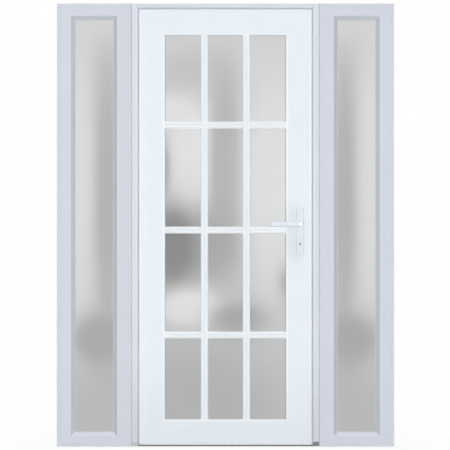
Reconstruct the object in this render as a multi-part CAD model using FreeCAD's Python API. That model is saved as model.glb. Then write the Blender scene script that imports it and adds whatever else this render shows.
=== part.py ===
import FreeCAD, Part
import math
import os

# An entrance door unit: a glazed leaf with twelve panes, hung between two tall fixed sidelights.
# X runs to the right, Y away from the street side, Z up. The street side faces -Y.
# The origin is on the underside of the threshold, midway between the jambs and midway in the frame.

# Overall sizes
UNIT_HEIGHT = 2032.0
FRAME_DEPTH = 70.0
DOOR_FRAME_WIDTH = 858.0
COUPLING_WIDTH = 2.5
COUPLING_RECESS = 3.0
SIDELIGHT_WIDTH = 342.5

# Door frame: a front lip that the leaf closes behind, and a rebate at its back
JAMB_LIP = 27.0
HEAD_LIP = 21.0
LIP_DEPTH = 10.0
LIP_BEVEL_WIDTH = 8.0
LIP_BEVEL_DROP = 2.5
REBATE_STEP = 7.0
FRAME_EDGE_RADIUS = 1.5

# Threshold and the feet of the jambs
THRESHOLD_THICKNESS = 3.0
THRESHOLD_REAR_REACH = 15.0
THRESHOLD_GROOVE_COUNT = 5
THRESHOLD_GROOVE_PITCH = 8.0
THRESHOLD_GROOVE_WIDTH = 3.0
THRESHOLD_GROOVE_DEPTH = 0.8
FOOT_TOP = 22.0

# Clearances of the moving leaf
REVEAL_GAP = 7.5
SILL_GAP = 5.0
SEAL_GAP = 5.0
FLANGE_GAP = 5.0

# Leaf profile, measured from its front edge towards the glass
LEAF_EDGE_WIDTH = 11.0
LEAF_EDGE_DROP = 2.5
LEAF_FACE = 106.5
LEAF_BEVEL_WIDTH = 9.5
LEAF_BEVEL_DROP = 3.5
LEAF_GLASS_RECESS = 15.0
LEAF_BODY_STEP = 4.5
LEAF_FLANGE_REACH = 19.5
LEAF_FLANGE_THICKNESS = 10.0
LEAF_FLANGE_RADIUS = 4.0
SEAL_THICKNESS = 3.0
SEAL_OVERHANG = 1.0
SEAL_END_GAP = 0.3

# Sidelight profile, measured from its outer edge towards the glass
SIDE_STILE_FACE = 66.0
SIDE_TOP_FACE = 56.5
SIDE_BOTTOM_FACE = 47.5
SIDE_BEVEL_WIDTH = 16.5
SIDE_BEVEL_DROP = 18.0
SIDE_GLASS_RECESS = 22.0
SIDE_FACE_RADIUS = 2.0
SIDE_LINE_DISTANCE = 14.0
SIDE_LINE_WIDTH = 2.4
SIDE_LINE_DEPTH = 1.0

# Glazing
GLASS_THICKNESS = 32.0
GLASS_BITE = 12.0
GLAZING_REBATE = 16.0
BEAD_FOOT = 4.0
BEAD_SLOPE = 6.0
BEAD_RADIUS = 2.5

# Glazing bars on both faces of the leaf's glass
UPRIGHT_BAR_WIDTH = 34.0
CROSS_BAR_WIDTH = 32.0
BAR_HEIGHT = 10.0
BAR_EDGE_WIDTH = 5.0
BAR_EDGE_HEIGHT = 5.5
BAR_GROOVE_WIDTH = 5.0
BAR_GROOVE_DEPTH = 1.5
UPRIGHT_BAR_PITCH = 192.5
CROSS_BAR_PITCH = 482.0
CROSS_BAR_DROP = 12.75

# Handle set
HANDLE_BACKSET = 52.5
SPINDLE_HEIGHT = 1021.0
CYLINDER_DISTANCE = 92.0
PLATE_WIDTH = 35.0
PLATE_ABOVE_SPINDLE = 74.0
PLATE_BELOW_SPINDLE = 140.0
PLATE_THICKNESS = 9.0
PLATE_CORNER_RADIUS = 6.0
PLATE_EDGE_BEVEL = 2.5
COLLAR_RADIUS = 15.0
COLLAR_HEIGHT = 2.5
COLLAR_BEVEL = 1.2
NECK_RADIUS = 10.5
NECK_CLEARANCE = 0.1
NECK_SEAT = 6.0
LEVER_REACH = 137.0
LEVER_STAND_OFF = 36.5
LEVER_THICKNESS = 13.0
LEVER_ROOT_RADIUS = 12.5
LEVER_TIP_RADIUS = 8.75
LEVER_FRONT_ROUNDING = 4.0
LEVER_REAR_BEVEL = 1.5
SPINDLE_SIDE = 8.0
SPINDLE_FIT = 0.05
SPINDLE_IN_NECK = 30.0
STILE_HOLE_RADIUS = 12.0

# Lock: profile cylinder, edge plate on the leaf and keeps on the jamb
CYLINDER_RADIUS = 8.5
CYLINDER_LEG_WIDTH = 10.0
CYLINDER_LEG_DROP = 24.5
CYLINDER_PROUD = 3.0
CYLINDER_FIT = 0.3
KEYWAY_WIDTH = 2.6
KEYWAY_HEIGHT = 9.0
KEYWAY_DEPTH = 8.0
EDGE_PLATE_WIDTH = 16.0
EDGE_PLATE_THICKNESS = 2.5
EDGE_PLATE_MARGIN = 60.0
LOCK_LINE_DEPTH = 47.0
KEEP_WIDTH = 22.0
KEEP_THICKNESS = 1.5
KEEP_LENGTH = 130.0
KEEP_SLOT_WIDTH = 12.0
KEEP_SLOT_LENGTH = 34.0
KEEP_END_DISTANCE = 322.0
KEEP_BELOW_SPINDLE = 36.0

# Hinges, on the rear face at the left
HINGE_END_DISTANCE = 223.0
HINGE_HALF_LENGTH = 50.0
HINGE_AXIS_OUTSIDE_FLANGE = 3.0
HINGE_AXIS_BEHIND_LEAF = 12.0
KNUCKLE_RADIUS = 9.0
KNUCKLE_GAP = 0.6
PIN_RADIUS = 5.0
PIN_CLEARANCE = 0.1
PIN_CAP_HEIGHT = 4.0
HINGE_PLATE_THICKNESS = 3.5
FRAME_PLATE_WIDTH = 36.0
LEAF_PLATE_WIDTH = 36.0
HINGE_SIDE_CLEARANCE = 5.0
WEB_THICKNESS = 8.0

# Places worked out from the sizes above
FRONT = -FRAME_DEPTH / 2
REAR = FRAME_DEPTH / 2
DOOR_EDGE = DOOR_FRAME_WIDTH / 2
SIDE_INNER_EDGE = DOOR_EDGE + COUPLING_WIDTH
SIDE_OUTER_EDGE = SIDE_INNER_EDGE + SIDELIGHT_WIDTH
LIP_BACK = FRONT + LIP_DEPTH
LIP_X = DOOR_EDGE - JAMB_LIP
REBATE_X = LIP_X + REBATE_STEP
LEAF_EDGE = LIP_X - REVEAL_GAP
LEAF_TOP = UNIT_HEIGHT - HEAD_LIP - REVEAL_GAP
LEAF_BOTTOM = THRESHOLD_THICKNESS + SILL_GAP
LEAF_SIGHT = LEAF_FACE + LEAF_BEVEL_WIDTH
LEAF_STEP = LIP_BACK + SEAL_GAP + SEAL_THICKNESS
FLANGE_FRONT = REAR + FLANGE_GAP
LEAF_REAR = FLANGE_FRONT + LEAF_FLANGE_THICKNESS
LEAF_GLASS_FRONT = FRONT + LEAF_GLASS_RECESS
LEAF_GLASS_REAR = LEAF_GLASS_FRONT + GLASS_THICKNESS
LEAF_MID_DEPTH = (FRONT + LEAF_REAR) / 2
LEAF_MID_HEIGHT = (LEAF_BOTTOM + LEAF_TOP) / 2
LOCK_LINE = FRONT + LOCK_LINE_DEPTH
SIDE_GLASS_FRONT = FRONT + SIDE_GLASS_RECESS
HANDLE_X = LEAF_EDGE - HANDLE_BACKSET
CYLINDER_HEIGHT = SPINDLE_HEIGHT - CYLINDER_DISTANCE
PLATE_FRONT = FRONT - PLATE_THICKNESS
NECK_BACK = PLATE_FRONT + NECK_SEAT
LEVER_FRONT = PLATE_FRONT - LEVER_STAND_OFF - LEVER_THICKNESS
HINGE_X = -(LEAF_EDGE + LEAF_FLANGE_REACH + HINGE_AXIS_OUTSIDE_FLANGE)
HINGE_Y = LEAF_REAR + HINGE_AXIS_BEHIND_LEAF
HINGE_HEIGHTS = (LEAF_BOTTOM + HINGE_END_DISTANCE, LEAF_MID_HEIGHT, LEAF_TOP - HINGE_END_DISTANCE)
KEEP_HEIGHTS = (LEAF_BOTTOM + KEEP_END_DISTANCE, SPINDLE_HEIGHT - KEEP_BELOW_SPINDLE,
                LEAF_TOP - KEEP_END_DISTANCE)
MIDDLE_CROSS_BAR = LEAF_MID_HEIGHT - CROSS_BAR_DROP
CROSS_BAR_HEIGHTS = (MIDDLE_CROSS_BAR - CROSS_BAR_PITCH, MIDDLE_CROSS_BAR,
                     MIDDLE_CROSS_BAR + CROSS_BAR_PITCH)

os.makedirs("parts", exist_ok=True)


def save(name, *solids):
    """Write one sub-part, made of one or more separate solids."""
    shape = solids[0] if len(solids) == 1 else Part.makeCompound(list(solids))
    shape.exportStep("parts/" + name + ".step")
    print(name, len(shape.Solids), round(shape.Volume))


def point(x, y, z):
    return FreeCAD.Vector(x, y, z)


def box(x0, x1, y0, y1, z0, z1):
    return Part.makeBox(x1 - x0, y1 - y0, z1 - z0, point(x0, y0, z0))


def outline_face(corners, place):
    """A flat face from (a, b) or (a, b, radius) corners, put in space by place(a, b)."""
    flat = [FreeCAD.Vector(corner[0], corner[1], 0) for corner in corners]
    stops = []
    for number, corner in enumerate(corners):
        here = flat[number]
        if len(corner) == 2:
            stops.append((here,))
            continue
        radius = corner[2]
        back = (flat[number - 1] - here).normalize()
        ahead = (flat[(number + 1) % len(flat)] - here).normalize()
        half_angle = back.getAngle(ahead) / 2
        run = radius / math.tan(half_angle)
        inward = (back + ahead).normalize()
        middle = here + inward * (radius / math.sin(half_angle) - radius)
        stops.append((here + back * run, middle, here + ahead * run))
    edges = []
    for number, stop in enumerate(stops):
        spots = [place(spot.x, spot.y) for spot in stop]
        if len(spots) == 3:
            edges.append(Part.Arc(*spots).toShape())
        following = stops[(number + 1) % len(stops)][0]
        start = spots[-1]
        end = place(following.x, following.y)
        if start.distanceToPoint(end) > 1e-6:
            edges.append(Part.LineSegment(start, end).toShape())
    return Part.Face(Part.Wire(edges))


def upright(section, x_edge, inward, z0, z1):
    """A vertical bar: the section's first value runs inward from x_edge, its second is the depth."""
    face = outline_face(section, lambda u, y: point(x_edge + inward * u, y, z0))
    return face.extrude(point(0, 0, z1 - z0))


def crosspiece(section, z_edge, inward, x0, x1):
    """A horizontal bar: the section's first value runs inward from z_edge, its second is the depth."""
    face = outline_face(section, lambda u, y: point(x0, y, z_edge + inward * u))
    return face.extrude(point(x1 - x0, 0, 0))


def mitre_zone(side, sight):
    """The space that one side of a frame may fill, cut at 45 degrees through the sight corners."""
    x0, x1, z0, z1 = sight
    reach = LEAF_SIGHT + LEAF_FLANGE_REACH + FRAME_DEPTH
    outlines = {
        "left": [(x0, z0), (x0, z1), (x0 - reach, z1 + reach), (x0 - reach, z0 - reach)],
        "right": [(x1, z0), (x1, z1), (x1 + reach, z1 + reach), (x1 + reach, z0 - reach)],
        "top": [(x0, z1), (x1, z1), (x1 + reach, z1 + reach), (x0 - reach, z1 + reach)],
        "bottom": [(x0, z0), (x1, z0), (x1 + reach, z0 - reach), (x0 - reach, z0 - reach)],
    }
    face = outline_face(outlines[side], lambda x, z: point(x, FRONT - FRAME_DEPTH, z))
    return face.extrude(point(0, 3 * FRAME_DEPTH, 0))


def mitred(bar, side, sight):
    return bar.common(mitre_zone(side, sight)).Solids[0]


def bead_section(sight, glass_rear, rear):
    """A glazing bead that holds the glass from the room side."""
    floor = sight - GLAZING_REBATE
    return [
        (floor, glass_rear),
        (sight, glass_rear),
        (sight, glass_rear + BEAD_FOOT, BEAD_RADIUS),
        (sight - BEAD_SLOPE, rear, BEAD_RADIUS),
        (floor, rear),
    ]


def glazing_beads(edges, widths, glass_rear, rear, sight):
    """Side beads and end beads of one glazed frame, as two lists of solids."""
    x0, x1, z0, z1 = edges
    left, right, bottom, top = widths
    sides = [
        mitred(upright(bead_section(left, glass_rear, rear), x0, 1, z0, z1), "left", sight),
        mitred(upright(bead_section(right, glass_rear, rear), x1, -1, z0, z1), "right", sight),
    ]
    ends = [
        mitred(crosspiece(bead_section(bottom, glass_rear, rear), z0, 1, x0, x1), "bottom", sight),
        mitred(crosspiece(bead_section(top, glass_rear, rear), z1, -1, x0, x1), "top", sight),
    ]
    return sides, ends


# Door frame: jambs, head, feet and threshold
def frame_section(width):
    """Section of a jamb or the head, from its outer edge to the lip."""
    return [
        (0, FRONT, FRAME_EDGE_RADIUS),
        (width - LIP_BEVEL_WIDTH, FRONT),
        (width, FRONT + LIP_BEVEL_DROP),
        (width, LIP_BACK),
        (width - REBATE_STEP, LIP_BACK),
        (width - REBATE_STEP, REAR),
        (0, REAR),
    ]


def build_keeps():
    """Steel keep plates, let into the rebate of the lock jamb."""
    plates = []
    for height in KEEP_HEIGHTS:
        plate = box(REBATE_X, REBATE_X + KEEP_THICKNESS, LOCK_LINE - KEEP_WIDTH / 2,
                    LOCK_LINE + KEEP_WIDTH / 2, height - KEEP_LENGTH / 2, height + KEEP_LENGTH / 2)
        plates.append(plate)
    return plates


def cut_keep_slot(plate):
    middle = plate.BoundBox.Center
    slot = box(middle.x - KEEP_THICKNESS, middle.x + KEEP_THICKNESS,
               middle.y - KEEP_SLOT_WIDTH / 2, middle.y + KEEP_SLOT_WIDTH / 2,
               middle.z - KEEP_SLOT_LENGTH / 2, middle.z + KEEP_SLOT_LENGTH / 2)
    return plate.cut(slot)


door_sight = (-LIP_X, LIP_X, FOOT_TOP, UNIT_HEIGHT - HEAD_LIP)
jamb_section = frame_section(JAMB_LIP)
keep_plates = build_keeps()

for name, sign in (("left", -1), ("right", 1)):
    jamb = upright(jamb_section, sign * DOOR_EDGE, -sign, FOOT_TOP, UNIT_HEIGHT)
    corner = mitre_zone("top", door_sight)
    jamb = jamb.cut(corner)
    if sign > 0:
        jamb = jamb.cut(Part.makeCompound(keep_plates))
    save("door_jamb_" + name, jamb.Solids[0])
    save("jamb_foot_" + name, upright(jamb_section, sign * DOOR_EDGE, -sign, THRESHOLD_THICKNESS, FOOT_TOP))

head = crosspiece(frame_section(HEAD_LIP), UNIT_HEIGHT, -1, -DOOR_EDGE, DOOR_EDGE)
save("door_head", mitred(head, "top", door_sight))
save("lock_keeps", *[cut_keep_slot(plate) for plate in keep_plates])


def build_threshold():
    """A low metal threshold with anti-slip grooves along its top."""
    plate = box(-DOOR_EDGE, DOOR_EDGE, FRONT, REAR + THRESHOLD_REAR_REACH, 0, THRESHOLD_THICKNESS)
    first = LEAF_MID_DEPTH - THRESHOLD_GROOVE_PITCH * (THRESHOLD_GROOVE_COUNT - 1) / 2
    for number in range(THRESHOLD_GROOVE_COUNT):
        middle = first + number * THRESHOLD_GROOVE_PITCH
        plate = plate.cut(box(-LIP_X, LIP_X, middle - THRESHOLD_GROOVE_WIDTH / 2,
                              middle + THRESHOLD_GROOVE_WIDTH / 2,
                              THRESHOLD_THICKNESS - THRESHOLD_GROOVE_DEPTH, THRESHOLD_THICKNESS))
    return plate


save("threshold", build_threshold())


# Sidelights, each coupled to the door frame by a narrow strip
def sidelight_section(face_width):
    sight = face_width + SIDE_BEVEL_WIDTH
    line = SIDE_LINE_DISTANCE
    return [
        (0, FRONT, SIDE_FACE_RADIUS),
        (line, FRONT),
        (line + SIDE_LINE_WIDTH / 2, FRONT + SIDE_LINE_DEPTH),
        (line + SIDE_LINE_WIDTH, FRONT),
        (face_width, FRONT, SIDE_FACE_RADIUS),
        (sight, FRONT + SIDE_BEVEL_DROP),
        (sight, SIDE_GLASS_FRONT),
        (sight - GLAZING_REBATE, SIDE_GLASS_FRONT),
        (sight - GLAZING_REBATE, REAR),
        (0, REAR),
    ]


def build_sidelight(name, x0, x1, left_name, right_name):
    stile_sight = SIDE_STILE_FACE + SIDE_BEVEL_WIDTH
    top_sight = SIDE_TOP_FACE + SIDE_BEVEL_WIDTH
    bottom_sight = SIDE_BOTTOM_FACE + SIDE_BEVEL_WIDTH
    sight = (x0 + stile_sight, x1 - stile_sight, bottom_sight, UNIT_HEIGHT - top_sight)
    stile = sidelight_section(SIDE_STILE_FACE)
    left = upright(stile, x0, 1, 0, UNIT_HEIGHT)
    right = upright(stile, x1, -1, 0, UNIT_HEIGHT)
    top = crosspiece(sidelight_section(SIDE_TOP_FACE), UNIT_HEIGHT, -1, x0, x1)
    bottom = crosspiece(sidelight_section(SIDE_BOTTOM_FACE), 0, 1, x0, x1)
    top = mitred(top, "top", sight)
    bottom = mitred(bottom, "bottom", sight)
    zones = Part.makeCompound([mitre_zone("top", sight), mitre_zone("bottom", sight)])
    save(name + left_name, left.cut(zones).Solids[0])
    save(name + right_name, right.cut(zones).Solids[0])
    save(name + "_top_rail", top)
    save(name + "_bottom_rail", bottom)
    glass_rear = SIDE_GLASS_FRONT + GLASS_THICKNESS
    save(name + "_glass", box(sight[0] - GLASS_BITE, sight[1] + GLASS_BITE, SIDE_GLASS_FRONT,
                              glass_rear, sight[2] - GLASS_BITE, sight[3] + GLASS_BITE))
    edges = (x0, x1, 0, UNIT_HEIGHT)
    widths = (stile_sight, stile_sight, bottom_sight, top_sight)
    sides, ends = glazing_beads(edges, widths, glass_rear, REAR, sight)
    save(name + "_side_beads", *sides)
    save(name + "_end_beads", *ends)


build_sidelight("left_sidelight", -SIDE_OUTER_EDGE, -SIDE_INNER_EDGE, "_outer_stile", "_inner_stile")
build_sidelight("right_sidelight", SIDE_INNER_EDGE, SIDE_OUTER_EDGE, "_inner_stile", "_outer_stile")

for name, x0 in (("left", -SIDE_INNER_EDGE), ("right", DOOR_EDGE)):
    save("coupling_strip_" + name, box(x0, x0 + COUPLING_WIDTH, FRONT + COUPLING_RECESS,
                                       REAR - COUPLING_RECESS, 0, UNIT_HEIGHT))


# Leaf: four mitred members, glass and beads
def leaf_section(with_flange):
    """Section of a leaf member, from its front edge to the glass, with a rear flange or plain."""
    floor = LEAF_SIGHT - GLAZING_REBATE
    front = [
        (0, FRONT + LEAF_EDGE_DROP),
        (LEAF_EDGE_WIDTH, FRONT),
        (LEAF_FACE, FRONT),
        (LEAF_SIGHT, FRONT + LEAF_BEVEL_DROP),
        (LEAF_SIGHT, LEAF_GLASS_FRONT),
        (floor, LEAF_GLASS_FRONT),
        (floor, LEAF_REAR),
    ]
    if not with_flange:
        return front + [(0, LEAF_REAR)]
    return front + [
        (-LEAF_FLANGE_REACH, LEAF_REAR, LEAF_FLANGE_RADIUS),
        (-LEAF_FLANGE_REACH, FLANGE_FRONT),
        (-LEAF_BODY_STEP, FLANGE_FRONT),
        (-LEAF_BODY_STEP, LEAF_STEP),
        (0, LEAF_STEP),
    ]


def cylinder_outline(grow):
    """Outline of the lock cylinder in the XZ plane: a round head over a narrow leg."""
    radius = CYLINDER_RADIUS + grow
    half_leg = CYLINDER_LEG_WIDTH / 2 + grow
    drop = CYLINDER_LEG_DROP + grow
    rise = math.sqrt(radius ** 2 - half_leg ** 2)
    centre = (HANDLE_X, CYLINDER_HEIGHT)
    place = lambda x, z: point(centre[0] + x, 0, centre[1] + z)
    edges = [
        Part.Arc(place(-half_leg, -rise), place(0, radius), place(half_leg, -rise)).toShape(),
        Part.LineSegment(place(half_leg, -rise), place(half_leg, half_leg - drop)).toShape(),
        Part.Arc(place(half_leg, half_leg - drop), place(0, -drop),
                 place(-half_leg, half_leg - drop)).toShape(),
        Part.LineSegment(place(-half_leg, half_leg - drop), place(-half_leg, -rise)).toShape(),
    ]
    return Part.Face(Part.Wire(edges))


def cylinder_prism(grow, y0, y1):
    face = cylinder_outline(grow)
    face.translate(point(0, y0, 0))
    return face.extrude(point(0, y1 - y0, 0))


def round_bar(radius, y0, y1):
    """A round bar on the spindle's axis."""
    return Part.makeCylinder(radius, y1 - y0, point(HANDLE_X, y0, SPINDLE_HEIGHT), point(0, 1, 0))


leaf_edges = (-LEAF_EDGE, LEAF_EDGE, LEAF_BOTTOM, LEAF_TOP)
leaf_sight = (LEAF_SIGHT - LEAF_EDGE, LEAF_EDGE - LEAF_SIGHT,
              LEAF_BOTTOM + LEAF_SIGHT, LEAF_TOP - LEAF_SIGHT)
flange_top = LEAF_TOP + LEAF_FLANGE_REACH
flange_side = LEAF_EDGE + LEAF_FLANGE_REACH
flanged = leaf_section(True)

hinge_stile = mitred(upright(flanged, -LEAF_EDGE, 1, LEAF_BOTTOM, flange_top), "left", leaf_sight)
lock_stile = mitred(upright(flanged, LEAF_EDGE, -1, LEAF_BOTTOM, flange_top), "right", leaf_sight)
leaf_top = mitred(crosspiece(flanged, LEAF_TOP, -1, -flange_side, flange_side), "top", leaf_sight)
leaf_bottom = crosspiece(leaf_section(False), LEAF_BOTTOM, 1, -LEAF_EDGE, LEAF_EDGE)
leaf_bottom = mitred(leaf_bottom, "bottom", leaf_sight)

body_edge = LEAF_EDGE + LEAF_BODY_STEP
edge_plate = box(body_edge - EDGE_PLATE_THICKNESS, body_edge,
                 LOCK_LINE - EDGE_PLATE_WIDTH / 2, LOCK_LINE + EDGE_PLATE_WIDTH / 2,
                 LEAF_BOTTOM + EDGE_PLATE_MARGIN, LEAF_TOP - EDGE_PLATE_MARGIN)
lock_stile = lock_stile.cut(edge_plate)
lock_stile = lock_stile.cut(round_bar(STILE_HOLE_RADIUS, FRONT, LEAF_REAR))
lock_stile = lock_stile.cut(cylinder_prism(CYLINDER_FIT, FRONT, LEAF_REAR))

save("leaf_hinge_stile", hinge_stile)
save("leaf_lock_stile", lock_stile)
save("leaf_top_rail", leaf_top)
save("leaf_bottom_rail", leaf_bottom)
save("lock_edge_plate", edge_plate)

leaf_glass = box(leaf_sight[0] - GLASS_BITE, leaf_sight[1] + GLASS_BITE, LEAF_GLASS_FRONT,
                 LEAF_GLASS_REAR, leaf_sight[2] - GLASS_BITE, leaf_sight[3] + GLASS_BITE)
leaf_widths = (LEAF_SIGHT, LEAF_SIGHT, LEAF_SIGHT, LEAF_SIGHT)
side_beads, end_beads = glazing_beads(leaf_edges, leaf_widths, LEAF_GLASS_REAR, LEAF_REAR, leaf_sight)
save("leaf_glass", leaf_glass)
save("leaf_side_beads", *side_beads)
save("leaf_end_beads", *end_beads)


# Seals on the step of the leaf, seen as the pale line in the reveal
def build_seals():
    section = [
        (0, LEAF_STEP),
        (-LEAF_BODY_STEP - SEAL_OVERHANG, LEAF_STEP),
        (-LEAF_BODY_STEP - SEAL_OVERHANG, LEAF_STEP - SEAL_THICKNESS),
        (0, LEAF_STEP - SEAL_THICKNESS),
    ]
    reach = LEAF_EDGE + LEAF_BODY_STEP + SEAL_OVERHANG
    return [
        upright(section, -LEAF_EDGE, 1, LEAF_BOTTOM, LEAF_TOP - SEAL_END_GAP),
        upright(section, LEAF_EDGE, -1, LEAF_BOTTOM, LEAF_TOP - SEAL_END_GAP),
        crosspiece(section, LEAF_TOP, -1, -reach, reach),
    ]


save("leaf_seals", *build_seals())


# Glazing bars: two uprights and three rows of cross bars, on the front and on the rear of the glass
def bar_section(width, grooved):
    """A bar with bevelled edges, plain or grooved; the second value is the height off the glass."""
    half = width / 2
    groove = BAR_GROOVE_WIDTH / 2
    left = [(-half, 0), (-half, BAR_EDGE_HEIGHT), (BAR_EDGE_WIDTH - half, BAR_HEIGHT)]
    right = [(half - BAR_EDGE_WIDTH, BAR_HEIGHT), (half, BAR_EDGE_HEIGHT), (half, 0)]
    if not grooved:
        return left + right
    middle = [
        (-groove - BAR_GROOVE_DEPTH, BAR_HEIGHT),
        (-groove, BAR_HEIGHT - BAR_GROOVE_DEPTH),
        (groove, BAR_HEIGHT - BAR_GROOVE_DEPTH),
        (groove + BAR_GROOVE_DEPTH, BAR_HEIGHT),
    ]
    return left + middle + right


def bars_on(glass_face, outward, surround, overlap):
    """Uprights and cross bars that stand on one face of the glass and are coped to the surround."""
    def section(width, grooved):
        return [(u, glass_face + outward * rise) for u, rise in bar_section(width, grooved)]

    x0, x1, z0, z1 = leaf_sight
    uprights = []
    envelopes = []
    for middle in (-UPRIGHT_BAR_PITCH / 2, UPRIGHT_BAR_PITCH / 2):
        bar = upright(section(UPRIGHT_BAR_WIDTH, True), middle, 1, z0 - overlap, z1 + overlap)
        uprights.append(bar.cut(surround).Solids[0])
        envelopes.append(upright(section(UPRIGHT_BAR_WIDTH, False), middle, 1, z0, z1))
    cross_bars = []
    for height in CROSS_BAR_HEIGHTS:
        bar = crosspiece(section(CROSS_BAR_WIDTH, True), height, 1, x0 - overlap, x1 + overlap)
        cross_bars += bar.cut(Part.makeCompound([surround] + envelopes)).Solids
    return uprights, cross_bars


members = Part.makeCompound([hinge_stile, lock_stile, leaf_top, leaf_bottom])
front_uprights, front_cross = bars_on(LEAF_GLASS_FRONT, -1, members, LEAF_BEVEL_WIDTH / 2)
beads = Part.makeCompound(side_beads + end_beads)
rear_uprights, rear_cross = bars_on(LEAF_GLASS_REAR, 1, beads, BEAD_SLOPE / 2)
save("front_upright_bars", *front_uprights)
save("front_cross_bars", *front_cross)
save("rear_upright_bars", *rear_uprights)
save("rear_cross_bars", *rear_cross)


# Handle set: back plates, lever handles on one square spindle, and the lock cylinder
def to_room_side(shape):
    """The same piece on the other face of the leaf."""
    return shape.mirror(point(0, LEAF_MID_DEPTH, 0), point(0, 1, 0))


def build_back_plate():
    """A long plate with a bevelled front rim, a collar for the lever and a hole for the lock."""
    x0 = HANDLE_X - PLATE_WIDTH / 2
    x1 = HANDLE_X + PLATE_WIDTH / 2
    z0 = SPINDLE_HEIGHT - PLATE_BELOW_SPINDLE
    z1 = SPINDLE_HEIGHT + PLATE_ABOVE_SPINDLE
    corners = [(x, z, PLATE_CORNER_RADIUS) for x, z in ((x0, z0), (x1, z0), (x1, z1), (x0, z1))]
    face = outline_face(corners, lambda x, z: point(x, PLATE_FRONT, z))
    plate = face.extrude(point(0, PLATE_THICKNESS, 0))
    rim = [edge for edge in plate.Edges if edge.BoundBox.YMax < PLATE_FRONT + 1e-3]
    plate = plate.makeChamfer(PLATE_EDGE_BEVEL, rim)
    collar_front = PLATE_FRONT - COLLAR_HEIGHT
    collar = round_bar(COLLAR_RADIUS, collar_front, PLATE_FRONT + COLLAR_HEIGHT)
    rim = [edge for edge in collar.Edges if edge.BoundBox.YMax < collar_front + 1e-3]
    plate = plate.fuse(collar.makeChamfer(COLLAR_BEVEL, rim))
    plate = plate.cut(round_bar(NECK_RADIUS + NECK_CLEARANCE, collar_front, FRONT))
    return plate.cut(cylinder_prism(CYLINDER_FIT, PLATE_FRONT, FRONT)).Solids[0]


def lever_outline():
    """Outline of the lever in the XZ plane: two arcs joined by straight lines that touch both."""
    distance = LEVER_REACH - LEVER_TIP_RADIUS
    slope = math.asin((LEVER_ROOT_RADIUS - LEVER_TIP_RADIUS) / distance)

    def spot(centre, radius, angle):
        x = HANDLE_X + centre + radius * math.cos(angle)
        return point(x, LEVER_FRONT, SPINDLE_HEIGHT + radius * math.sin(angle))

    touch = math.pi / 2 + slope
    root_top = spot(0, LEVER_ROOT_RADIUS, touch)
    root_bottom = spot(0, LEVER_ROOT_RADIUS, -touch)
    tip_top = spot(-distance, LEVER_TIP_RADIUS, touch)
    tip_bottom = spot(-distance, LEVER_TIP_RADIUS, -touch)
    edges = [
        Part.Arc(root_bottom, spot(0, LEVER_ROOT_RADIUS, 0), root_top).toShape(),
        Part.LineSegment(root_top, tip_top).toShape(),
        Part.Arc(tip_top, spot(-distance, LEVER_TIP_RADIUS, math.pi), tip_bottom).toShape(),
        Part.LineSegment(tip_bottom, root_bottom).toShape(),
    ]
    return Part.Face(Part.Wire(edges))


def build_lever():
    """A flat lever that narrows to a round tip, on a round neck with a square socket in it."""
    bar = lever_outline().extrude(point(0, LEVER_THICKNESS, 0))
    front_rim = [edge for edge in bar.Edges if edge.BoundBox.YMax < LEVER_FRONT + 1e-3]
    bar = bar.makeFillet(LEVER_FRONT_ROUNDING, front_rim)
    bar_back = LEVER_FRONT + LEVER_THICKNESS
    rear_rim = [edge for edge in bar.Edges if edge.BoundBox.YMin > bar_back - 1e-3]
    bar = bar.makeChamfer(LEVER_REAR_BEVEL, rear_rim)
    neck = round_bar(NECK_RADIUS, bar_back - LEVER_THICKNESS / 2, NECK_BACK)
    lever = bar.fuse(neck).removeSplitter()
    half = SPINDLE_SIDE / 2 + SPINDLE_FIT
    socket = box(HANDLE_X - half, HANDLE_X + half, NECK_BACK - SPINDLE_IN_NECK, NECK_BACK,
                 SPINDLE_HEIGHT - half, SPINDLE_HEIGHT + half)
    return lever.cut(socket).Solids[0]


def build_spindle():
    half = SPINDLE_SIDE / 2
    y0 = NECK_BACK - SPINDLE_IN_NECK
    y1 = 2 * LEAF_MID_DEPTH - y0
    return box(HANDLE_X - half, HANDLE_X + half, y0, y1, SPINDLE_HEIGHT - half, SPINDLE_HEIGHT + half)


def build_cylinder():
    """The lock cylinder, through the leaf and both plates, with a keyway in each end."""
    y0 = PLATE_FRONT - CYLINDER_PROUD
    y1 = 2 * LEAF_MID_DEPTH - y0
    body = cylinder_prism(0, y0, y1)
    for start, end in ((y0, y0 + KEYWAY_DEPTH), (y1 - KEYWAY_DEPTH, y1)):
        keyway = box(HANDLE_X - KEYWAY_WIDTH / 2, HANDLE_X + KEYWAY_WIDTH / 2, start, end,
                     CYLINDER_HEIGHT - KEYWAY_HEIGHT / 2, CYLINDER_HEIGHT + KEYWAY_HEIGHT / 2)
        body = body.cut(keyway)
    return body


back_plate = build_back_plate()
lever = build_lever()
save("outer_back_plate", back_plate)
save("inner_back_plate", to_room_side(back_plate))
save("outer_lever", lever)
save("inner_lever", to_room_side(lever))
save("spindle", build_spindle())
save("lock_cylinder", build_cylinder())


# Hinges: each a frame half with the lower knuckle, a leaf half with the upper one, and a capped pin
def knuckle(z0, z1, bore):
    barrel = Part.makeCylinder(KNUCKLE_RADIUS, z1 - z0, point(HINGE_X, HINGE_Y, z0))
    return barrel.cut(Part.makeCylinder(bore, z1 - z0, point(HINGE_X, HINGE_Y, z0)))


def hinge_piece(outline, z0, z1):
    face = outline_face(outline, lambda x, y: point(x, y, z0))
    return face.extrude(point(0, 0, z1 - z0))


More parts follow.
